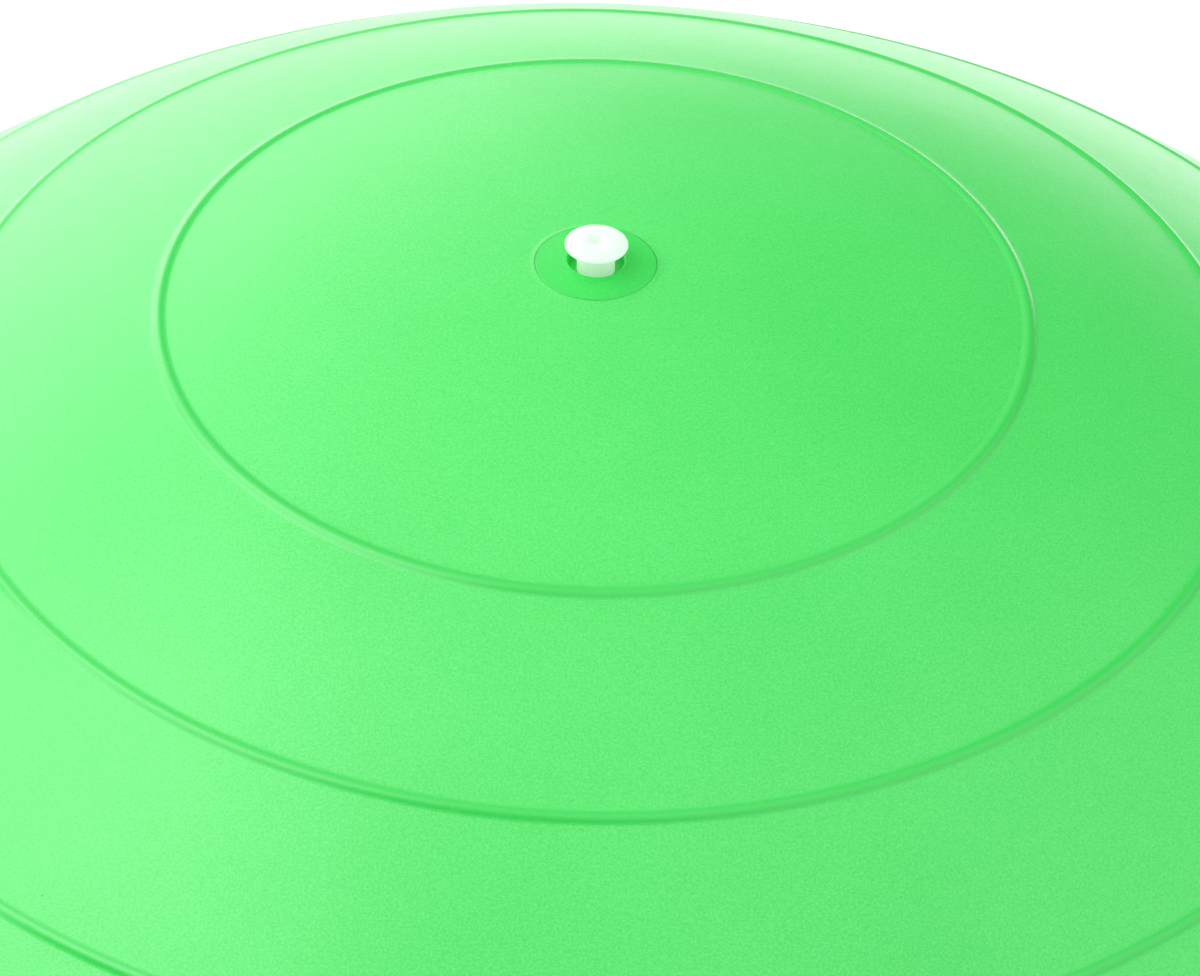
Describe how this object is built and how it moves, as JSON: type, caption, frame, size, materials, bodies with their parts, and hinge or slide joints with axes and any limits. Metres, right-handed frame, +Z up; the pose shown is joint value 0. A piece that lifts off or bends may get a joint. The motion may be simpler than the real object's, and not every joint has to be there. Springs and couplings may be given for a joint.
{
  "type": "dome balance trainer",
  "caption": "Dome balance pad: green ribbed inflatable PVC dome with a white stopper valve at its crown, clamped to a round black platform with hand grips and rubber feet.",
  "frame": {"origin": "centre of the plane the feet stand on", "axes": "+Z up through the crown of the dome, +X out through the right hand grip, +Y away from the usual viewer"},
  "size_m": [0.636, 0.636, 0.2305],
  "materials": {
    "green_pvc": "satin soft PVC, fine grain",
    "valve_green": "satin moulded PVC, faint turning marks",
    "plug_white": "translucent white polyethylene",
    "platform_black": "fine moulded grain",
    "grip_rubber": "matt, ribbed",
    "foot_rubber": "matt",
    "zinc_steel": "zinc plated"
  },
  "bodies": {
    "base": {"base_tray": "platform_black", "deck_plate": "platform_black", "clamp_ring": "platform_black", "grip_right": "grip_rubber", "grip_left": "grip_rubber", "foot_1": "foot_rubber", "foot_2": "foot_rubber", "foot_3": "foot_rubber", "foot_4": "foot_rubber", "foot_5": "foot_rubber", "foot_6": "foot_rubber", "foot_7": "foot_rubber", "foot_8": "foot_rubber", "clamp_screws": "zinc_steel", "deck_screws": "zinc_steel"},
    "crown": {"dome_bladder": "green_pvc", "valve_socket": "valve_green"},
    "plug": {"valve_plug": "plug_white"}
  },
  "joints": [
    {"name": "dome_press", "type": "slide", "parent": "base", "child": "crown", "axis": [0, 0, -1], "range_m": [0, 0.06], "stiffness_N_per_m": 13400, "deforming": ["dome_bladder"]},
    {"name": "plug_pull", "type": "slide", "parent": "crown", "child": "plug", "axis": [0, 0, 1], "range_m": [-0.0033, 0.02]}
  ]
}
